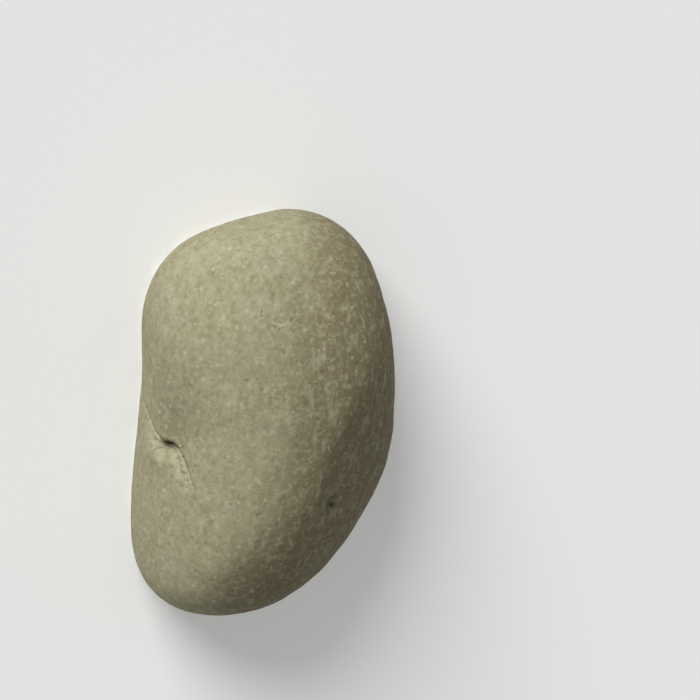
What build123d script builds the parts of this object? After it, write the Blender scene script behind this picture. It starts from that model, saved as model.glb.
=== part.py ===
from build123d import *

import math
import os

# A garden pebble of imitation stone, flat underneath, that hides a key.
# X runs along the pebble and Z points up. The origin is under the middle of the pebble,
# on the ground that it lies on. Every size is in millimetres.

# ---- pebble, outside ----
PEBBLE_HEIGHT = 45.0
GIRTH_HEIGHT = 13.0  # height at which the pebble is widest
EDGE_ROLL = 4.5  # how far the edge of the underside rolls in under the widest outline
CROWN_EXPONENT = 2.15  # 2 is an ellipse, and more is fuller in the shoulders
CROWN_SHIFT = (1.0, -3.0)  # the top lies off the middle, towards the steeper flank
SHOULDER_SOFTNESS = 5  # a higher number gives a sharper ridge where a worn face starts

# The widest outline seen from above, from the blunt end at +X round through +Y.
PEBBLE_OUTLINE = [
    (52.0, 2.5),
    (48.0, 16.5),
    (41.0, 28.0),
    (27.5, 34.0),
    (11.0, 33.0),
    (-16.0, 31.5),
    (-32.0, 30.0),
    (-48.5, 23.5),
    (-52.5, 10.0),
    (-49.5, -4.5),
    (-41.0, -18.0),
    (-27.5, -28.5),
    (-8.5, -34.5),
    (10.5, -31.5),
    (25.5, -27.5),
    (37.5, -23.0),
    (49.5, -14.0),
]

# The two worn faces that meet in the pebble's long soft ridge. Each is a plane, given by
# the compass direction it faces, its tilt above the horizon and its height over the middle.
WORN_FACES = [
    (-107.0, 56.0, 48.0),  # steep dark face, along the -Y side and the narrow end
    (75.0, 68.0, 48.0),  # broad face, along the +Y side
]

# ---- key recess and its lid ----
RECESS_CENTRE = (1.0, 2.0)  # under the middle of the flat face
RECESS_LENGTH = 72.0  # takes a key of 70
RECESS_WIDTH = 31.0
RECESS_CORNER = 3.5
RECESS_DEPTH = 20.0  # from the ground up to the roof of the recess
RECESS_ROOF_FILLET = 2.5
LEDGE_WIDTH = 2.0  # ledge round the mouth, which the lid's plate lies on
LID_PLATE_THICKNESS = 2.5
LID_SET_IN = 0.4  # the lid's face stays this far off the ground
LID_PLUG_HEIGHT = 7.0
LID_CLEARANCE = 0.3  # gap all round the lid's plate and its plug
LID_EDGE_ROUND = 0.7
MOUTH_EDGE_ROUND = 0.5

MOUTH_LENGTH = RECESS_LENGTH + 2 * LEDGE_WIDTH
MOUTH_WIDTH = RECESS_WIDTH + 2 * LEDGE_WIDTH
MOUTH_CORNER = RECESS_CORNER + LEDGE_WIDTH
MOUTH_DEPTH = LID_SET_IN + LID_PLATE_THICKNESS

# ---- how finely the pebble is cut into sections ----
OUTLINE_STEPS = 36
ROLL_SECTIONS = 4
CROWN_SECTIONS = 9
CROWN_END = 0.97  # share of the quarter turn over the crown at the last, near-flat section
EDGE_ON = 0.001  # a worn face trims only the directions that it faces at least this much
LEAST_REACH = 0.5  # a worn face never draws a section in closer to the middle than this


def widest_outline():
    """Points evenly spaced along the smooth closed curve through PEBBLE_OUTLINE."""
    curve = Edge.make_spline([Vector(x, y, 0) for x, y in PEBBLE_OUTLINE], periodic=True)
    return [curve.position_at(step / OUTLINE_STEPS) for step in range(OUTLINE_STEPS)]


def reach_of_face(face, direction, height, slide):
    """How far out along a direction a worn face lies, at a height."""
    compass, tilt, over_middle = face
    level = math.cos(math.radians(tilt))
    face_x = level * math.cos(math.radians(compass))
    face_y = level * math.sin(math.radians(compass))
    face_z = math.sin(math.radians(tilt))
    towards = face_x * direction.X + face_y * direction.Y
    if towards < EDGE_ON:
        return None
    left = face_z * (over_middle - height) - face_x * slide[0] - face_y * slide[1]
    return max(left / towards, LEAST_REACH)


def section(outline, height, shrink, inset, climb):
    """One level section of the pebble: the outline drawn in and trimmed by the worn faces."""
    slide = (CROWN_SHIFT[0] * climb**2, CROWN_SHIFT[1] * climb**2)
    points = []
    for point in outline:
        direction = point.normalized()
        reach = (point.length - inset) * shrink
        reaches = [reach_of_face(face, direction, height, slide) for face in WORN_FACES]
        limits = [reach] + [trim for trim in reaches if trim is not None]
        soft = sum(limit**-SHOULDER_SOFTNESS for limit in limits) ** (-1 / SHOULDER_SOFTNESS)
        points.append(Vector(direction.X * soft + slide[0], direction.Y * soft + slide[1], height))
    return Wire([Edge.make_spline(points, periodic=True)])


def pebble():
    """The whole pebble before the recess is let in, built up from level sections."""
    outline = widest_outline()
    sections = []
    for step in range(ROLL_SECTIONS):
        turn = math.pi / 2 * step / ROLL_SECTIONS
        height = GIRTH_HEIGHT * (1 - math.cos(turn))
        sections.append(section(outline, height, 1.0, EDGE_ROLL * (1 - math.sin(turn)), 0.0))
    for step in range(CROWN_SECTIONS + 1):
        turn = math.pi / 2 * CROWN_END * step / CROWN_SECTIONS
        climb = math.sin(turn) ** (2 / CROWN_EXPONENT)
        shrink = math.cos(turn) ** (2 / CROWN_EXPONENT)
        height = GIRTH_HEIGHT + (PEBBLE_HEIGHT - GIRTH_HEIGHT) * climb
        sections.append(section(outline, height, shrink, 0.0, climb))
    return Solid.make_loft(sections, ruled=False)


def rounded_block(length, width, corner, bottom, top):
    """An upright block with rounded corners over the middle of the recess."""
    block = extrude(RectangleRounded(length, width, corner), top - bottom)
    return Pos(RECESS_CENTRE[0], RECESS_CENTRE[1], bottom) * block


def rock_body():
    """The casting: the pebble with the key recess and the lid's ledge let into its flat face."""
    recess = rounded_block(RECESS_LENGTH, RECESS_WIDTH, RECESS_CORNER, 0, RECESS_DEPTH)
    roof_edges = recess.faces().sort_by(Axis.Z)[-1].edges()
    recess = fillet(roof_edges, RECESS_ROOF_FILLET)
    mouth = rounded_block(MOUTH_LENGTH, MOUTH_WIDTH, MOUTH_CORNER, 0, MOUTH_DEPTH)
    body = pebble() - recess - mouth
    underside = body.faces().filter_by(Plane.XY).sort_by(Axis.Z)[0]
    return fillet(underside.inner_wires()[0].edges(), MOUTH_EDGE_ROUND)


def compartment_lid():
    """The lid: a plate that lies on the ledge, with a plug that presses into the recess."""
    plate = rounded_block(
        MOUTH_LENGTH - 2 * LID_CLEARANCE,
        MOUTH_WIDTH - 2 * LID_CLEARANCE,
        MOUTH_CORNER - LID_CLEARANCE,
        LID_SET_IN,
        MOUTH_DEPTH,
    )
    plate = fillet(plate.faces().sort_by(Axis.Z)[0].edges(), LID_EDGE_ROUND)
    plug = rounded_block(
        RECESS_LENGTH - 2 * LID_CLEARANCE,
        RECESS_WIDTH - 2 * LID_CLEARANCE,
        RECESS_CORNER - LID_CLEARANCE,
        MOUTH_DEPTH,
        MOUTH_DEPTH + LID_PLUG_HEIGHT,
    )
    plug = fillet(plug.faces().sort_by(Axis.Z)[-1].edges(), LID_EDGE_ROUND)
    return plate + plug


os.makedirs("parts", exist_ok=True)
export_step(rock_body(), "parts/rock_body.step")
export_step(compartment_lid(), "parts/compartment_lid.step")
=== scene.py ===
import bmesh
import bpy
import numpy as np
from mathutils import Matrix, Vector, kdtree, noise
from mathutils.bvhtree import BVHTree


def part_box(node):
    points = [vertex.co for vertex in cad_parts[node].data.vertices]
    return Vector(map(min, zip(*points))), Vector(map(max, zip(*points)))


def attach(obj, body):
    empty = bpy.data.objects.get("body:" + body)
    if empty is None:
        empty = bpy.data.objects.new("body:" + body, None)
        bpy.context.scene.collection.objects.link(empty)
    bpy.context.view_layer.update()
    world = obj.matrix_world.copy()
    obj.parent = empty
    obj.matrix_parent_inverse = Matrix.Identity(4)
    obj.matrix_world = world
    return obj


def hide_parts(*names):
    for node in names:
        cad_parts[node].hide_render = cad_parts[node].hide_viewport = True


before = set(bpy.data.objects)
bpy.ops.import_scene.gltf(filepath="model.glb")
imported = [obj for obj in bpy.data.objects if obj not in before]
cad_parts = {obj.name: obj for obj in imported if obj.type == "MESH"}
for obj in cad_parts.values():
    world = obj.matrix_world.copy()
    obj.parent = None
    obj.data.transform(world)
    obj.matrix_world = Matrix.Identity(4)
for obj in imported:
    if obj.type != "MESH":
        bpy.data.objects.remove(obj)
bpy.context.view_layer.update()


# ======== the stone's casting ========
# The stone is one casting of mineral-filled resin, poured into a soft mould that was taken off a real
# pebble. The mould gives it the pebble's uneven skin and its small pits. The key recess and the ledge
# round its mouth are cast into the flat underside.

MM = 0.001
CASTING_FACE = 0.43 * MM  # side of the small even faces that the relief is pressed into
WELD = 0.001 * MM  # the node's corners that lie this near each other become one
SEED_STEP = 17.3  # each seed reads the random heights this many widths away from the last


def recast(node, name, face_size):
    """A new piece with a CAD node's shape, in small even faces that relief can be pressed into."""
    shape = bmesh.new()
    shape.from_mesh(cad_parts[node].data)
    bmesh.ops.remove_doubles(shape, verts=shape.verts, dist=WELD)
    mesh = bpy.data.meshes.new(name)
    shape.to_mesh(mesh)
    shape.free()
    piece = bpy.data.objects.new(name, mesh)
    bpy.context.scene.collection.objects.link(piece)
    even = piece.modifiers.new("even_faces", "REMESH")
    even.mode = "VOXEL"
    even.voxel_size = face_size
    even.use_smooth_shade = True
    graph = bpy.context.evaluated_depsgraph_get()
    piece.data = bpy.data.meshes.new_from_object(piece.evaluated_get(graph))
    piece.modifiers.clear()
    piece.data.name = name
    return piece


def points_of(piece):
    """The places of a piece's points, in millimetres."""
    places = np.empty(len(piece.data.vertices) * 3, np.float32)
    piece.data.vertices.foreach_get("co", places)
    return places.reshape(-1, 3).astype(float) / MM


def facings_of(piece):
    """The direction that the skin faces at each point."""
    facings = np.empty(len(piece.data.vertices) * 3, np.float32)
    piece.data.vertex_normals.foreach_get("vector", facings)
    return facings.reshape(-1, 3).astype(float)


def move_points(piece, places):
    """Puts a piece's points at new places, given in millimetres."""
    piece.data.vertices.foreach_set("co", (places * MM).astype(np.float32).ravel())
    piece.data.update()


def ease(low, high, values):
    """0 at low, 1 at high, and smooth in between. With low above high it falls instead."""
    share = np.clip((values - low) / (high - low), 0, 1)
    return share * share * (3 - 2 * share)


def lumps(points, size, seed):
    """Smooth random heights from -1 to 1, with rises about as wide as the size."""
    return np.array([noise.noise(place) for place in points / size + SEED_STEP * seed])


def uneven(points, layers, seed):
    """Random heights in layers, each a (width, height) of its rises. Each layer takes the next seed."""
    rises = [height * lumps(points, width, seed + layer) for layer, (width, height) in enumerate(layers)]
    return sum(rises)


def keep(piece, name, values):
    """Stores one number for each point, which the finish reads."""
    layer = piece.data.attributes.new(name, "FLOAT", "POINT")
    layer.data.foreach_set("value", values.astype(np.float32))


stone = recast("rock_body", "stone", CASTING_FACE)

# What belongs to the key recess and what to the outside, told by place.
MOUTH_MARGIN = 0.8  # the recess and its ledge lie inside the lid's outline grown by this
RECESS_ROOF = 20.0  # height of the recess's roof above the ground

lid_low, lid_high = (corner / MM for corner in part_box("compartment_lid"))
lid_middle = (lid_low + lid_high) / 2
lid_half = (lid_high - lid_low) / 2


def in_recess(points):
    """1 for the points on the walls, ledge and roof of the key recess, and else 0."""
    inside_x = abs(points[:, 0] - lid_middle.x) < lid_half.x + MOUTH_MARGIN
    inside_y = abs(points[:, 1] - lid_middle.y) < lid_half.y + MOUTH_MARGIN
    below_roof = points[:, 2] < RECESS_ROOF + MOUTH_MARGIN
    return (inside_x & inside_y & below_roof).astype(float)


# ---- the pebble's skin: broad unevenness, a mottled hide of soft bumps and a sandy grain ----
SKIN = [(24.0, 0.40), (9.0, 0.16), (4.2, 0.085), (2.0, 0.055), (1.15, 0.04)]  # (width, height) of bumps
SKIN_SEED = 1
SKIN_FADE = (0.2, 5.0)  # the unevenness dies out between these heights, so the stone rests flat
WEAR_ROUNDS = 160  # rounds of smoothing that wear the long ridge down


def wear_down(piece, amount, rounds):
    """Smooths a piece's skin, at each point as much as the amount there says."""
    worn = piece.vertex_groups.new(name="worn")
    for number, weight in enumerate(amount):
        worn.add([number], weight, "REPLACE")
    smooth = piece.modifiers.new("worn_down", "SMOOTH")
    smooth.vertex_group = "worn"
    smooth.iterations = rounds
    graph = bpy.context.evaluated_depsgraph_get()
    piece.data = bpy.data.meshes.new_from_object(piece.evaluated_get(graph))
    piece.modifiers.clear()
    piece.vertex_groups.clear()


places = points_of(stone)
outside = 1 - in_recess(places)
fade = ease(*SKIN_FADE, places[:, 2]) * outside
wear_down(stone, fade, WEAR_ROUNDS)

places = points_of(stone)
facings = facings_of(stone)
move_points(stone, places + facings * (uneven(places, SKIN, SKIN_SEED) * fade)[:, None])


# ======== the flaked scars ========
# Old scars of the real pebble came through the mould. The large one runs up the broad flank as a
# crack, opens into a pocket where a flake has come off, and dies out over the shoulder. A small notch
# with a hole lies in the steep face, and the rim of a chip near the top.

FINE_REACH = 3.2  # the faces this near a crack are halved, so that its edges stay sharp
SPOTS_PER_ROW = 8  # how many spots are tried along a crack for each row of its list
FAR_OFF = 80.0  # well outside the stone
AXES = 3

# Each crack is a list of (X, Y or Z, depth of the crack, drop from its lip to the flake beside it).
# The cracks on the flank are drawn on X and Z and those on the top on X and Y: the skin gives the third.
FLANK_CRACK = [
    (2.9, 5.2, 0.0, 0.0),
    (1.3, 11.7, 0.35, 0.1),
    (-0.4, 14.1, 0.4, 0.15),
    (-2.4, 16.4, 0.45, 0.3),
    (-3.3, 18.5, 0.55, 0.6),
    (-3.9, 20.0, 0.75, 1.4),
    (-4.0, 21.4, 1.0, 1.8),
    (-3.8, 22.8, 1.0, 1.4),
    (-3.6, 24.3, 1.0, 1.1),
    (-3.9, 25.6, 1.0, 0.9),
    (-4.6, 26.8, 1.0, 0.8),
    (-5.5, 27.9, 0.95, 0.6),
    (-6.4, 28.7, 0.9, 0.5),
    (-7.9, 29.8, 0.8, 0.45),
    (-9.4, 30.8, 0.6, 0.35),
    (-11.0, 31.7, 0.4, 0.25),
    (-12.6, 32.4, 0.35, 0.1),
    (-13.8, 33.0, 0.0, 0.0),
]
FLANK_BRANCH = [
    (-5.3, 21.0, 0.7, 0.0),
    (-6.0, 20.0, 0.6, 0.0),
    (-6.5, 19.2, 0.6, 0.0),
    (-7.3, 18.6, 0.5, 0.0),
    (-8.3, 18.1, 0.0, 0.0),
]
POCKET_NICK = [
    (-4.7, 21.4, 0.0, 0.0),
    (-5.3, 21.3, 0.9, 0.0),
    (-5.8, 21.2, 0.9, 0.0),
    (-6.4, 21.3, 0.7, 0.0),
    (-6.9, 21.2, 0.0, 0.0),
]
TOP_NOTCH = [
    (-10.2, -14.6, 0.0, 0.0),
    (-11.1, -13.4, 0.3, 0.3),
    (-12.6, -11.7, 0.5, 0.6),
    (-14.2, -10.0, 0.8, 1.0),
    (-16.3, -9.2, 0.6, 0.6),
    (-17.1, -6.9, 0.4, 0.3),
    (-17.6, -3.4, 0.2, 0.1),
    (-18.6, -1.0, 0.0, 0.0),
]
NOTCH_HOLE = [
    (-14.2, -12.0, 0.0, 0.0),
    (-14.6, -11.3, 0.7, 0.1),
    (-15.0, -10.6, 1.1, 0.3),
    (-15.4, -10.0, 0.7, 0.1),
    (-15.9, -9.4, 0.0, 0.0),
]
CHIP_RIM = [
    (33.8, 12.2, 0.0, 0.0),
    (33.6, 11.2, 0.3, 0.1),
    (33.5, 10.3, 0.35, 0.1),
    (33.3, 9.4, 0.3, 0.1),
    (33.0, 8.5, 0.0, 0.0),
]


def skin_tree(piece):
    """A search tree of a piece's skin, in metres."""
    return BVHTree.FromObject(piece, bpy.context.evaluated_depsgraph_get())


def on_flank(tree, rows):
    """The rows' points on the broad flank, each where a line along Y first meets the skin."""
    starts = [Vector((x, FAR_OFF, z)) * MM for x, z, *_ in rows]
    return np.array([tree.ray_cast(start, (0, -1, 0))[0] / MM for start in starts])


def on_top(tree, rows):
    """The rows' points on the top, each where a line straight down first meets the skin."""
    starts = [Vector((x, y, FAR_OFF)) * MM for x, y, *_ in rows]
    return np.array([tree.ray_cast(start, (0, 0, -1))[0] / MM for start in starts])


def beside(path, points, facings):
    """How far each point lies from a path on the skin, and how far along it.

    The distance is above 0 on the right of the path, seen from outside, and below 0 on its left.
    """
    nearest = np.full(len(points), np.inf)
    across = np.zeros(len(points))
    along = np.zeros(len(points))
    for step, (start, end) in enumerate(zip(path, path[1:])):
        run = end - start
        share = np.clip((points - start) @ run / (run @ run), 0, 1)
        away = points - start - share[:, None] * run
        distance = np.linalg.norm(away, axis=1)
        closer = distance < nearest
        hand = np.sign((away * np.cross(run, facings)).sum(1))
        nearest[closer] = distance[closer]
        across[closer] = (hand * distance)[closer]
        along[closer] = step + share[closer]
    return across, along


def halve_faces(piece, paths):
    """Halves the faces beside the paths."""
    shape = bmesh.new()
    shape.from_mesh(piece.data)
    line = kdtree.KDTree(sum(len(path) * SPOTS_PER_ROW for path in paths))
    for path in paths:
        steps = np.linspace(0, len(path) - 1, len(path) * SPOTS_PER_ROW)
        spots = [np.interp(steps, range(len(path)), path[:, axis]) for axis in range(AXES)]
        for spot in np.stack(spots, 1):
            line.insert(spot * MM, 0)
    line.balance()
    near = {vertex for vertex in shape.verts if line.find(vertex.co)[2] < FINE_REACH * MM}
    edges = [edge for edge in shape.edges if edge.verts[0] in near and edge.verts[1] in near]
    bmesh.ops.subdivide_edges(shape, edges=edges, cuts=1, use_grid_fill=True, smooth=0)
    shape.to_mesh(piece.data)
    shape.free()


def hump(values, middle, width):
    """A smooth rise to 1 at the middle, which has all but gone at twice the width from it."""
    return np.exp(-(((values - middle) / width) ** 2))


# Each crack is (rows, path, reach of its flake, how blunt its edges are, share of a lip, share of a cut).
skin = skin_tree(stone)
flank_path = on_flank(skin, FLANK_CRACK)
cracks = [
    (FLANK_CRACK, flank_path, 6.5, 1.0, 1.0, 1.0),
    (FLANK_BRANCH, on_flank(skin, FLANK_BRANCH), 2.0, 0.8, 0.0, 1.0),
    (POCKET_NICK, on_flank(skin, POCKET_NICK), 2.0, 0.7, 0.0, 1.0),
    (TOP_NOTCH, on_top(skin, TOP_NOTCH), 4.5, 3.0, 0.0, 1.0),
    (NOTCH_HOLE, on_top(skin, NOTCH_HOLE), 1.0, 1.2, 0.0, 1.0),
    (CHIP_RIM, on_top(skin, CHIP_RIM), 2.0, 0.7, 1.8, 0.1),
]
halve_faces(stone, [path for _, path, *_ in cracks])

# ---- the line of a crack, which strays from the drawn one ----
STRAYS = [(2.4, 0.45), (0.9, 0.15)]  # (width, height) of the strays
STRAY_SEED = 21

places = points_of(stone)
facings = facings_of(stone)
wander = np.zeros_like(places)
for layer, (width, height) in enumerate(STRAYS):
    for axis in range(AXES):
        wander[:, axis] += height * lumps(places, width, STRAY_SEED + AXES * layer + axis)


def measured(rows, path):
    """How far each point lies from a crack and how far along, and the crack's depth and drop there."""
    across, along = beside(path, places + wander, facings)
    depth = np.interp(along, range(len(rows)), [row[2] for row in rows])
    drop = np.interp(along, range(len(rows)), [row[3] for row in rows])
    return across, along, depth, drop


# ---- the cut of a crack, with a flake gone from its right side ----
CRACK_WIDTH = (0.294, 0.21)  # of a hairline, and what each millimetre of depth adds
CUT_DEPTH = 0.75  # share of its depth that a crack is cut straight in
WALL_WIDTH = 0.35  # a pocket's wall drops within this
POCKET_FLOOR = (3.6, 1.7)  # a pocket's floor has climbed out at the first, and is level up to the second
DISH_START = (0, 0.4)  # drops between which the flaked face begins to be dished
DISH_DEPTH = 0.35  # how much deeper the dished face lies, as a share of the drop
DISH_DROP = 0.9  # a larger drop dishes the face no deeper
LIP_HEIGHT = 0.16  # the flake's side of a crack stands up in a small lip, painted pale as a highlight
LIP_PLACE = 0.95
LIP_WIDTH = 0.5
LIP_START = (0.05, 0.3)  # depths between which the lip begins
LIP_END = (1.2, 0.4)  # the lip is gone at the first drop, and whole up to the second
LIP_BROKEN = (-0.5, 0.4)  # the lip is gone where the crack strays by the first, and whole at the second
OVERHANG = 0.15  # the sound skin leans out over a pocket by this share of its drop
OVERHANG_REACH = (-1.4, -0.1)
OVERHANG_DROP = 0.6  # a smaller drop has no overhang
TINY = 1e-6  # keeps a length from being divided by 0

# ---- the painted shade in it: the crack and the pocket under its overhang are painted dark ----
GROOVE_SHADE_DEPTH = (0.1, 1.0)  # depths between which a crack is painted dark as shade
GROOVE_SHADE_MEAN = 0.75
GROOVE_SHADE_UNEVEN = 0.6
POCKET_SHADE = 0.9
POCKET_SHADE_DROP = (0.6, 1.5)
POCKET_SHADE_REACH = (2.7, 0.9)

crevice_shade = np.zeros(len(places))
flake = np.zeros(len(places))
lip_highlight = np.zeros(len(places))
sink = np.zeros(len(places))
lean = np.zeros_like(places)
for rows, path, flake_reach, blunt, lip_share, cut_share in cracks:
    across, along, depth, drop = measured(rows, path)
    groove = cut_share * hump(across, 0, blunt * (CRACK_WIDTH[0] + CRACK_WIDTH[1] * depth))
    flaked = ease(0, blunt * WALL_WIDTH, across)
    pocket = flaked * ease(*POCKET_FLOOR, across)
    dish = flaked * hump(across, 0, flake_reach) * ease(*DISH_START, drop)
    raised = lip_share * hump(across, LIP_PLACE, LIP_WIDTH * min(blunt, 1))
    raised *= ease(*LIP_START, depth) * ease(*LIP_END, drop) * ease(*LIP_BROKEN, wander[:, 0])
    sink += CUT_DEPTH * depth * groove + drop * pocket
    sink += DISH_DEPTH * np.minimum(drop, DISH_DROP) * dish - LIP_HEIGHT * raised

    # painted shade: the groove, and the pocket floor under the overhang, are painted dark
    groove_shade = groove * ease(*GROOVE_SHADE_DEPTH, depth) * (GROOVE_SHADE_MEAN + GROOVE_SHADE_UNEVEN * wander[:, 1])
    pocket_shade = POCKET_SHADE * pocket * ease(*POCKET_SHADE_DROP, drop) * ease(*POCKET_SHADE_REACH, across)
    crevice_shade = np.maximum(crevice_shade, np.maximum(groove_shade, pocket_shade) / blunt)
    flake = np.maximum(flake, dish)
    # painted highlight: the raised lip is painted pale
    lip_highlight = np.maximum(lip_highlight, raised)

    sound = ease(*OVERHANG_REACH, across) * (across <= 0) * np.maximum(drop - OVERHANG_DROP, 0)
    step = np.minimum(along.astype(int), len(path) - 2)
    towards = np.cross(path[step + 1] - path[step], facings)
    towards /= np.maximum(np.linalg.norm(towards, axis=1), TINY)[:, None]
    lean += towards * (OVERHANG * sound)[:, None]

# ---- the broad dent that the large crack runs through, the lobe on its flaked side, and their painted shade ----
DENT_MIDDLE = (0.5, 23.5)  # X and Z
DENT_REACH = (9.0, 8.0)
DENT_DEPTH = 1.3
LOBE_HEIGHT = 0.7
LOBE_PLACE = 4.6  # distance of the lobe's crest from the crack
LOBE_WIDTH = 2.6
LOBE_START = (0.1, 0.8)  # drops between which the lobe begins
SHADE_PLACE = 8.5  # painted shade: beyond the lobe the paint is darker and browner, as in the dent
SHADE_WIDTH = 2.2
SHADE_START = (0.1, 0.6)
SHADE_SHARE = 0.5

across, _, _, drop = measured(FLANK_CRACK, flank_path)
off_middle = (places[:, [0, 2]] - DENT_MIDDLE) / DENT_REACH
dent = np.exp(-(off_middle**2).sum(1)) * (places[:, 1] > 0)
sink += DENT_DEPTH * dent - LOBE_HEIGHT * hump(across, LOBE_PLACE, LOBE_WIDTH) * ease(*LOBE_START, drop)
shade_beyond_lobe = SHADE_SHARE * hump(across, SHADE_PLACE, SHADE_WIDTH) * ease(*SHADE_START, drop)
# painted shade: the dent on the sound side of the crack and the skin beyond the lobe are painted darker
painted_dent_shade = np.maximum(dent * (across < 0), shade_beyond_lobe)

# ---- the broken face of the flake, rougher than the skin ----
FLAKE_ROUGH = [(2.4, 0.26), (1.1, 0.17)]  # (width, height) of its bumps
FLAKE_SEED = 31

rough = uneven(places, FLAKE_ROUGH, FLAKE_SEED)
move_points(stone, places + lean + facings * (flake * rough - sink)[:, None])


# ======== pits and bubbles ========
# Small round pits are scattered over the skin, more of them on the flaked face, where air bubbles in
# the resin and grains that fell out of the real pebble have left their marks.

random = np.random.default_rng(7)
PIT_COUNT = 120
PIT_RADIUS = (0.24, 0.46)
PIT_DEPTH = 0.5  # share of its radius
PIT_REACH = 1.6  # a pit has ended this many radii from its middle
PIT_WALL = 4  # a higher number gives a flatter floor and a steeper wall
PIT_LOWEST = 2.0  # no pits are scattered lower than this
FLAKE_PIT_COUNT = 40
FLAKE_SHOWN = 0.45  # the skin is clearly broken above this share
FLANK_PITS = [  # (X, Z, radius)
    (-8.6, 27.6, 0.42),
    (-9.6, 28.1, 0.33),
    (-9.5, 29.4, 0.33),
    (-6.1, 26.0, 0.25),
]
TOP_PITS = [  # (X, Y, radius)
    (31.8, 11.1, 0.28),
    (31.5, 10.2, 0.26),
    (26.1, 9.2, 0.44),
    (14.8, 8.2, 0.32),
    (16.5, 13.6, 0.36),
    (15.6, 15.5, 0.28),
    (44.6, -4.1, 0.36),
    (42.6, -4.4, 0.3),
]


def scattered(places, among, count, radii):
    """A count of pits at random points among the given ones, each with a radius between the two."""
    spots = random.choice(among, count)
    return [(places[spot], random.uniform(*radii)) for spot in spots]


def press_pits(piece, pits, depth_share):
    """Presses pits, each a (place, radius), into the skin. Returns how far each point lies in one."""
    places = points_of(piece)
    facings = facings_of(piece)
    tree = kdtree.KDTree(len(places))
    for number, place in enumerate(places):
        tree.insert(place, number)
    tree.balance()
    deep = np.zeros(len(places))
    push = np.zeros(len(places))
    for place, radius in pits:
        for _, number, distance in tree.find_range(Vector(place), PIT_REACH * radius):
            share = float(np.exp(-((distance / radius) ** PIT_WALL)))
            deep[number] = max(deep[number], share)
            push[number] = max(push[number], share * radius * depth_share)
    move_points(piece, places - facings * push[:, None])
    return deep


places = points_of(stone)
outside = 1 - in_recess(places)
skin = skin_tree(stone)
open_skin = np.flatnonzero((outside > 0) & (places[:, 2] > PIT_LOWEST))
flaked_skin = np.flatnonzero(flake > FLAKE_SHOWN)
pits = scattered(places, open_skin, PIT_COUNT, PIT_RADIUS)
pits += scattered(places, flaked_skin, FLAKE_PIT_COUNT, PIT_RADIUS)
own_places = [*on_flank(skin, FLANK_PITS), *on_top(skin, TOP_PITS)]
pits += [(place, radius) for place, (_, _, radius) in zip(own_places, FLANK_PITS + TOP_PITS)]
pitted = press_pits(stone, pits, PIT_DEPTH)


# ======== the stone's paint ========
# The casting comes out of the mould off-white. It is sprayed olive grey all over its outside, with a
# fine cream and dark spatter. The steep side that faces away from the lamp is painted darker and
# browner as painted shade. Painted shade also darkens the cracks, the pocket, the pits, the dent and
# the skin beyond the lobe, and the lips of the cracks take a painted pale highlight. The spray fades
# out round the edge of the underside, and the bare recess is painted greyer deeper in as painted shade.

PAINT_EDGE = (0.5, 1.7)  # the spray fades out between these heights
PAINT_EDGE_RAGGED = [(3.0, 0.6), (1.1, 0.3)]  # (width, height) of the waves in that edge
PAINT_EDGE_SEED = 41
RECESS_SHADE_HEIGHTS = (1.5, 7.0)  # painted shade: the bare recess is painted greyer between these heights, deeper in
PAINTED_SHADE_SIDE = Vector((-0.05, -0.95, 0.3)).normalized()  # painted shade: the skin that faces this way, away from the lamp, is painted browner and darker
PAINTED_SHADE_TURN = (-0.3, 0.4)  # how far the skin faces that way where the painted shade begins, and where it is full

places = points_of(stone)
facings = facings_of(stone)
hollow = in_recess(places)
ragged = uneven(places, PAINT_EDGE_RAGGED, PAINT_EDGE_SEED)
keep(stone, "painted", ease(*PAINT_EDGE, places[:, 2] + ragged) * (1 - hollow))
# painted shade in the recess, greyer deeper in
keep(stone, "hollow", hollow * ease(*RECESS_SHADE_HEIGHTS, places[:, 2]))
# painted shade: how far the skin faces away from the lamp, where it is painted browner and darker
keep(stone, "painted_shade", ease(*PAINTED_SHADE_TURN, facings @ np.array(PAINTED_SHADE_SIDE)))
# painted shade in the cracks and the pocket
keep(stone, "crevice_shade", np.clip(crevice_shade, 0, 1))
keep(stone, "flake", np.clip(flake, 0, 1))
# painted highlight on the raised lips of the cracks
keep(stone, "lip_highlight", np.clip(lip_highlight, 0, 1))
# painted shade: the deeper in a pit, the darker it is painted
keep(stone, "pitted", pitted)
# painted shade in the dent and beyond the lobe
keep(stone, "painted_dent_shade", painted_dent_shade)


def colour(red, green, blue):
    """A colour given as it looks, 0 to 255, in the units that a shader takes."""
    parts = [part / 255 for part in (red, green, blue)]
    return (*[part / 12.92 if part < 0.04045 else ((part + 0.055) / 1.055) ** 2.4 for part in parts], 1)


def new_finish(name):
    """A new material with a matte shader. Returns it, its node tree and the shader."""
    finish = bpy.data.materials.new(name)
    finish.use_nodes = True
    return finish, finish.node_tree, finish.node_tree.nodes["Principled BSDF"]


def add(tree, kind, inputs, **settings):
    """Adds a shader node. Each input is a value, or another node's output to link to."""
    node = tree.nodes.new("ShaderNode" + kind)
    for name, value in settings.items():
        setattr(node, name, value)
    for socket, value in inputs.items():
        if isinstance(value, bpy.types.NodeSocket):
            tree.links.new(value, node.inputs[socket])
        else:
            node.inputs[socket].default_value = value
    return node


def kept(tree, name):
    """The number that was kept for each point."""
    return add(tree, "Attribute", {}, attribute_name=name).outputs["Fac"]


def mottle(tree, place, size, detail, seed):
    """A smooth random pattern from 0 to 1, with patches about as wide as the size, in millimetres."""
    spot = add(tree, "VectorMath", {0: place, 1: (seed, 2 * seed, 3 * seed)}, operation="ADD").outputs[0]
    pattern = add(tree, "TexNoise", {"Vector": spot, "Scale": 1 / (size * MM), "Detail": detail})
    return pattern.outputs[0]


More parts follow.
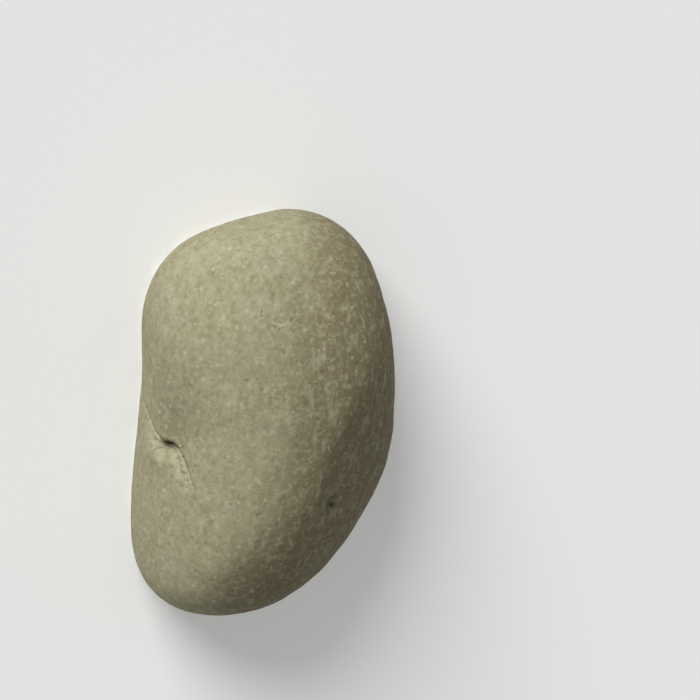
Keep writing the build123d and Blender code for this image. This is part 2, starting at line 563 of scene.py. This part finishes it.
def climb(tree, value, low, high):
    """0 at low, 1 at high, and smooth in between. With low above high it falls instead."""
    limits = {"Value": value, "From Min": min(low, high), "From Max": max(low, high)}
    limits |= {"To Min": float(low > high), "To Max": float(low < high)}
    return add(tree, "MapRange", limits, interpolation_type="SMOOTHSTEP").outputs[0]


def between(tree, value, low, high):
    """A number from 0 to 1 spread evenly between low and high."""
    return add(tree, "MapRange", {"Value": value, "To Min": low, "To Max": high}).outputs[0]


def times(tree, first, second):
    """The product of two numbers."""
    return add(tree, "Math", {0: first, 1: second}, operation="MULTIPLY").outputs[0]


def times_plus(tree, first, second, more):
    """The product of two numbers, and one more added to it."""
    return add(tree, "Math", {0: first, 1: second, 2: more}, operation="MULTIPLY_ADD").outputs[0]


def frayed(tree, place, size, reach):
    """A place that strays by a reach, in millimetres, so that nothing drawn on it is quite regular."""
    waves = add(tree, "TexNoise", {"Vector": place, "Scale": 1 / (size * MM), "Detail": 1.0})
    far = (reach * MM, reach * MM, reach * MM)
    inputs = {0: waves.outputs["Color"], 1: far, 2: place}
    return add(tree, "VectorMath", inputs, operation="MULTIPLY_ADD").outputs[0]


SPECK_EDGE = (1.4, 0.3)  # a speck has ended at the first, and is full up to the second, in radii
SPECK_CHOICE = 0.05  # the places within this much of the share have a faint speck


def specks(tree, place, spacing, radius, share, seed):
    """Soft specks of a radius, in millimetres, in a share of the cells of a random grid."""
    spot = add(tree, "VectorMath", {0: place, 1: (seed, seed, 2 * seed)}, operation="ADD").outputs[0]
    cells = add(tree, "TexVoronoi", {"Vector": spot, "Scale": 1 / (spacing * MM)})
    gone, full = (edge * radius / spacing for edge in SPECK_EDGE)
    dot = climb(tree, cells.outputs["Distance"], gone, full)
    cell = add(tree, "SeparateColor", {0: cells.outputs["Color"]}).outputs[0]
    return times(tree, dot, climb(tree, cell, 1 - share, 1 - share + SPECK_CHOICE))


def cover(tree, amount, under, over):
    """A colour covered by another as far as the amount says."""
    # A mix node's colours go in at its sockets 6 and 7 and come out at its socket 2.
    return add(tree, "Mix", {0: amount, 6: under, 7: over}, data_type="RGBA").outputs[2]


OLIVE = colour(159, 154, 122)
GREY_OLIVE = colour(164, 159, 130)
BROWN_OLIVE = colour(148, 141, 107)
SAND_LIGHT = colour(180, 177, 149)
SAND_DARK = colour(128, 123, 95)
# the cream of the spatter, also the painted highlight on the lips of the cracks
CREAM = colour(206, 201, 172)
# the dark of the spatter, also the painted shade in the pits
SPATTER_AND_PIT_SHADE_DARK = colour(88, 83, 62)
# painted shade on the steep side that faces away from the lamp
PAINTED_SHADE_BROWN = colour(112, 101, 71)
# painted shade in the cracks and the pocket
CREVICE_SHADE_BROWN = colour(54, 47, 32)
FLAKE_PALE = colour(186, 182, 152)
# painted shade in the dent and beyond the lobe
DENT_SHADE_OLIVE = colour(120, 114, 86)
CASTING_WHITE = colour(214, 216, 204)
CASTING_SHADE = colour(190, 191, 178)
# the grey of the underside's bubble specks, also the painted shade in the recess
SPECK_AND_RECESS_SHADE_GREY = colour(158, 158, 148)

finish, tree, shader = new_finish("painted_casting")
place = add(tree, "TexCoord", {}).outputs["Object"]

# The patterns of the spray, each with its size, detail and seed.
clouds = mottle(tree, place, 11.0, 2.0, 0.11)
patches = mottle(tree, place, 6.0, 2.0, 0.43)
broad_sand = mottle(tree, place, 2.9, 2.0, 0.53)
sand = mottle(tree, place, 1.25, 3.0, 0.23)
grains = mottle(tree, place, 0.5, 2.0, 0.31)
STREAK_SQUEEZE = (0.35, 1.0, 1.0)  # a streak is drawn out along the stone
streaks_place = add(tree, "Mapping", {"Vector": place, "Scale": STREAK_SQUEEZE}).outputs[0]
streaks = mottle(tree, streaks_place, 1.9, 2.0, 0.37)

# The side given painted shade is rubbed into streaks more strongly, and takes less of the cream spatter.
STREAK_SHARE = 0.2
STREAK_SHADED = 0.25
SPATTER_SHADED = -0.35
rubbed = times_plus(tree, kept(tree, "painted_shade"), STREAK_SHADED, STREAK_SHARE)
thin = times_plus(tree, kept(tree, "painted_shade"), SPATTER_SHADED, 1.0)

# Coats of the ground colour: (pattern, where it starts, where it is full, how much it covers, colour).
GROUND_COATS = [
    (clouds, 0.35, 0.65, 1.0, GREY_OLIVE),
    (patches, 0.5, 0.8, 0.4, BROWN_OLIVE),
]
# What the shape itself decides: (kept number, how much it covers, colour). The steep side and the dent
# take painted shade, and the flaked face is paler.
SHAPE_COATS = [
    ("painted_shade", 0.85, PAINTED_SHADE_BROWN),
    # painted shade in the dent and beyond the lobe
    ("painted_dent_shade", 0.6, DENT_SHADE_OLIVE),
    ("flake", 0.5, FLAKE_PALE),
]
SAND_COATS = [
    (broad_sand, 0.5, 0.72, 0.3, SAND_LIGHT),
    (broad_sand, 0.5, 0.3, 0.3, SAND_DARK),
    (sand, 0.5, 0.72, 0.4, SAND_LIGHT),
    (sand, 0.5, 0.3, 0.4, SAND_DARK),
    (streaks, 0.52, 0.75, rubbed, SAND_LIGHT),
    (streaks, 0.48, 0.25, rubbed, SAND_DARK),
    (grains, 0.55, 0.8, 0.2, CREAM),
    (grains, 0.45, 0.25, 0.2, SPATTER_AND_PIT_SHADE_DARK),
]
# Kinds of spatter: (spacing, radius, share of the places that have one, seed, how much it covers).
CREAM_SPATTER = [
    (2.3, 0.60, 0.40, 0.50, 0.36),
    (1.5, 0.38, 0.45, 0.60, 0.30),
    (4.6, 0.36, 0.30, 0.66, 0.60),
]
DARK_SPATTER = [(3.4, 0.30, 0.35, 0.70, 0.50), (2.1, 0.34, 0.35, 0.76, 0.25)]
# Marks over the paint: a painted highlight on the lips of the cracks, painted shade in the pits, and
# painted shade in the cracks and the pocket.
MARK_COATS = [
    # painted highlight on the lips of the cracks
    ("lip_highlight", 0.4, CREAM),
    # painted shade in the pits
    ("pitted", 0.4, SPATTER_AND_PIT_SHADE_DARK),
    ("crevice_shade", 0.9, CREVICE_SHADE_BROWN),
]
FRAY_SIZE = 1.0
FRAY_REACH = 1.3


def spray(tree, paint, coats):
    """Paint with coats of patterns over it."""
    for pattern, start, full, amount, tint in coats:
        paint = cover(tree, times(tree, climb(tree, pattern, start, full), amount), paint, tint)
    return paint


def follow_shape(tree, paint, coats):
    """Paint with coats over it that follow the numbers kept for the points."""
    for name, amount, tint in coats:
        paint = cover(tree, times(tree, kept(tree, name), amount), paint, tint)
    return paint


paint = spray(tree, OLIVE, GROUND_COATS)
paint = follow_shape(tree, paint, SHAPE_COATS)
paint = spray(tree, paint, SAND_COATS)
frayed_place = frayed(tree, place, FRAY_SIZE, FRAY_REACH)
for spacing, radius, share, seed, amount in CREAM_SPATTER:
    spatter = times(tree, specks(tree, frayed_place, spacing, radius, share, seed), amount)
    paint = cover(tree, times(tree, spatter, thin), paint, CREAM)
for spacing, radius, share, seed, amount in DARK_SPATTER:
    spatter = times(tree, specks(tree, frayed_place, spacing, radius, share, seed), amount)
    paint = cover(tree, spatter, paint, SPATTER_AND_PIT_SHADE_DARK)
paint = follow_shape(tree, paint, MARK_COATS)

# The bare casting, where the spray doesn't reach.
BARE_COATS = [(clouds, 0.35, 0.7, 0.6, CASTING_SHADE)]
BARE_SPECKS = (3.1, 0.2, 0.4, 0.8)  # (spacing, radius, share, seed)
BARE_SPECKS_SHOWN = 0.6
# painted shade in the recess
RECESS_SHADE_COATS = [("hollow", 0.85, SPECK_AND_RECESS_SHADE_GREY)]

bare = spray(tree, CASTING_WHITE, BARE_COATS)
bubbles = times(tree, specks(tree, frayed_place, *BARE_SPECKS), BARE_SPECKS_SHOWN)
bare = follow_shape(tree, cover(tree, bubbles, bare, SPECK_AND_RECESS_SHADE_GREY), RECESS_SHADE_COATS)

PAINT_ROUGHNESS = (0.78, 0.98)
PAINT_GLOSS = 0.3
GRIT_SAND = 0.7  # share of the grit that the sand pattern makes, and the share of the grains
GRIT_GRAINS = 0.5
GRIT_HEIGHT = 0.22 * MM
GRIT_STRENGTH = 0.55

tree.links.new(cover(tree, kept(tree, "painted"), bare, paint), shader.inputs["Base Color"])
tree.links.new(between(tree, sand, *PAINT_ROUGHNESS), shader.inputs["Roughness"])
shader.inputs["Specular IOR Level"].default_value = PAINT_GLOSS
grit = times_plus(tree, sand, GRIT_SAND, times(tree, grains, GRIT_GRAINS))
bump = add(tree, "Bump", {"Strength": GRIT_STRENGTH, "Distance": GRIT_HEIGHT, "Height": grit})
tree.links.new(bump.outputs[0], shader.inputs["Normal"])

stone.data.materials.clear()
stone.data.materials.append(finish)
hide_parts("rock_body")
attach(stone, "rock")


# ======== the compartment lid ========
# The lid is a second casting of the same off-white resin, left unpainted. It is a plate with rounded
# corners that lies on the ledge of the mouth, with a plug on its inner side that presses into the
# recess. Its face has sunk a little as the resin set, and a few bubbles have opened in it.

LID_FACE = 0.5 * MM
LID_FLAT = (0.75, 0.95)  # the skin sinks where it faces up or down by more than this, and fully by that
LID_SAG = 0.12  # how far the middle of the lid's face has sunk
LID_SAG_EDGE = (0.2, 0.95)  # the sag fades out between these shares of the way to the rim
LID_UNEVEN = [(14.0, 0.07), (3.5, 0.03)]
LID_SEED = 51
LID_PIT_COUNT = 34
LID_PIT_RADIUS = (0.28, 0.5)
LID_PIT_DEPTH = 0.6

lid = recast("compartment_lid", "lid", LID_FACE)
places = points_of(lid)
facings = facings_of(lid)
towards_x = abs(places[:, 0] - lid_middle.x) / lid_half.x
towards_y = abs(places[:, 1] - lid_middle.y) / lid_half.y
level = ease(*LID_FLAT, abs(facings[:, 2]))
sunk = LID_SAG * (1 - ease(*LID_SAG_EDGE, np.maximum(towards_x, towards_y)))
swell = uneven(places, LID_UNEVEN, LID_SEED)
move_points(lid, places - facings * ((sunk + abs(swell)) * level)[:, None])

places = points_of(lid)
lid_pits = scattered(places, len(places), LID_PIT_COUNT, LID_PIT_RADIUS)
keep(lid, "pitted", press_pits(lid, lid_pits, LID_PIT_DEPTH))

LID_WHITE = colour(222, 225, 217)
LID_SHADE = colour(214, 216, 207)
# the grey of the lid's flat specks, also the painted shade in its pits
LID_FLECK_AND_PIT_SHADE_GREY = colour(150, 148, 132)
LID_SPECKS = (3.4, 0.2, 0.35, 0.9)  # (spacing, radius, share, seed)
LID_SPECKS_SHOWN = 0.7
LID_ROUGHNESS = (0.6, 0.8)
LID_GLOSS = 0.4
CHALK_HEIGHT = 0.08 * MM
CHALK_STRENGTH = 0.35

finish, tree, shader = new_finish("bare_lid_casting")
place = add(tree, "TexCoord", {}).outputs["Object"]
clouds = mottle(tree, place, 13.0, 3.0, 0.17)
chalk = mottle(tree, place, 0.9, 3.0, 0.29)
LID_COATS = [(clouds, 0.35, 0.7, 1.0, LID_SHADE), (chalk, 0.5, 0.75, 0.4, LID_SHADE)]
# painted shade: the deeper in a pit, the darker it is painted
LID_MARKS = [("pitted", 0.7, LID_FLECK_AND_PIT_SHADE_GREY)]
body = spray(tree, LID_WHITE, LID_COATS)
bubbles = times(tree, specks(tree, place, *LID_SPECKS), LID_SPECKS_SHOWN)
body = follow_shape(tree, cover(tree, bubbles, body, LID_FLECK_AND_PIT_SHADE_GREY), LID_MARKS)
tree.links.new(body, shader.inputs["Base Color"])
tree.links.new(between(tree, chalk, *LID_ROUGHNESS), shader.inputs["Roughness"])
shader.inputs["Specular IOR Level"].default_value = LID_GLOSS
bump = add(tree, "Bump", {"Strength": CHALK_STRENGTH, "Distance": CHALK_HEIGHT, "Height": chalk})
tree.links.new(bump.outputs[0], shader.inputs["Normal"])

lid.data.materials.clear()
lid.data.materials.append(finish)
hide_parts("compartment_lid")
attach(lid, "lid")


# ======== floor, light and camera ========
# The stone lies on a plain pale floor. A wide soft lamp, as far off as a sun, shines low over the
# blunt end and the broad flank, and a white sky fills the shadows.

FLOOR_WIDTH = 60.0  # metres
FLOOR_SQUARES = 8
FLOOR_PALE = colour(249, 249, 247)
FLOOR_CLOUD = colour(246, 246, 245)
FLOOR_GLOW = 0.16  # a glow that the camera alone sees, so that the floor looks pale under the low lamp
FLOOR_ROUGHNESS = 0.9
FLOOR_GLOSS = 0.1
WHITE = (1, 1, 1, 1)
SKY_STRENGTH = 0.28
SKY_SEEN = (0.762, 0.762, 0.753, 1)  # what the camera sees beyond the floor, as bright as the floor
LAMP_COMPASS = 37.0  # degrees from +X towards +Y
LAMP_HEIGHT = 25.0  # degrees above the floor
LAMP_STRENGTH = 2.75
LAMP_WIDTH = 30.0  # degrees across: a wide lamp has soft shadows

# ---- floor ----
shape = bmesh.new()
bmesh.ops.create_grid(shape, x_segments=FLOOR_SQUARES, y_segments=FLOOR_SQUARES, size=FLOOR_WIDTH / 2)
mesh = bpy.data.meshes.new("floor")
shape.to_mesh(mesh)
shape.free()
floor = bpy.data.objects.new("floor", mesh)
bpy.context.scene.collection.objects.link(floor)
finish, tree, shader = new_finish("pale_floor")
place = add(tree, "TexCoord", {}).outputs["Object"]
paper = mottle(tree, place, 300.0, 2.0, 0.13)
tree.links.new(cover(tree, paper, FLOOR_PALE, FLOOR_CLOUD), shader.inputs["Base Color"])
shader.inputs["Roughness"].default_value = FLOOR_ROUGHNESS
shader.inputs["Specular IOR Level"].default_value = FLOOR_GLOSS
shader.inputs["Emission Color"].default_value = WHITE
to_camera = add(tree, "LightPath", {}).outputs["Is Camera Ray"]
tree.links.new(times(tree, to_camera, FLOOR_GLOW), shader.inputs["Emission Strength"])
floor.data.materials.append(finish)

# ---- sky ----
sky = bpy.data.worlds.new("sky")
sky.use_nodes = True
bpy.context.scene.world = sky
tree = sky.node_tree
light = tree.nodes["Background"]
light.inputs["Strength"].default_value = SKY_STRENGTH
light.inputs["Color"].default_value = WHITE
seen = add(tree, "Background", {"Color": SKY_SEEN, "Strength": 1.0})
by_camera = add(tree, "LightPath", {}).outputs["Is Camera Ray"]
both = add(tree, "MixShader", {0: by_camera, 1: light.outputs[0], 2: seen.outputs[0]})
tree.links.new(both.outputs[0], tree.nodes["World Output"].inputs["Surface"])

# ---- lamp ----
compass, height = np.radians(LAMP_COMPASS), np.radians(LAMP_HEIGHT)
lamp_from = Vector((np.cos(height) * np.cos(compass), np.cos(height) * np.sin(compass), np.sin(height)))
lamp = bpy.data.objects.new("soft_lamp", bpy.data.lights.new("soft_lamp", "SUN"))
lamp.data.angle = np.radians(LAMP_WIDTH)
lamp.data.energy = LAMP_STRENGTH
lamp.rotation_euler = lamp_from.to_track_quat("Z", "Y").to_euler()
bpy.context.scene.collection.objects.link(lamp)

# ---- camera: far off with a long lens, looking down on the stone with its blunt end upwards ----
LENS = 272.6
CAMERA_RIGHT = Vector((0.1328, -0.9220, 0.3630))
CAMERA_UP = Vector((0.9408, 0.0021, -0.3380))
CAMERA_BACK = Vector((0.3111, 0.3863, 0.8680))
CAMERA_OFF = (25.56 * MM, 11.57 * MM, 1342 * MM)  # right, up and back of the stone's origin
CAMERA_SEES = 100  # metres, to beyond the end of the floor

camera = bpy.data.objects.new("camera", bpy.data.cameras.new("camera"))
camera.data.lens = LENS
camera.data.clip_end = CAMERA_SEES
turned = Matrix((CAMERA_RIGHT, CAMERA_UP, CAMERA_BACK)).transposed()
camera.matrix_world = Matrix.Translation(turned @ Vector(CAMERA_OFF)) @ turned.to_4x4()
bpy.context.scene.collection.objects.link(camera)
bpy.context.scene.camera = camera
bpy.context.scene.view_settings.view_transform = "Standard"
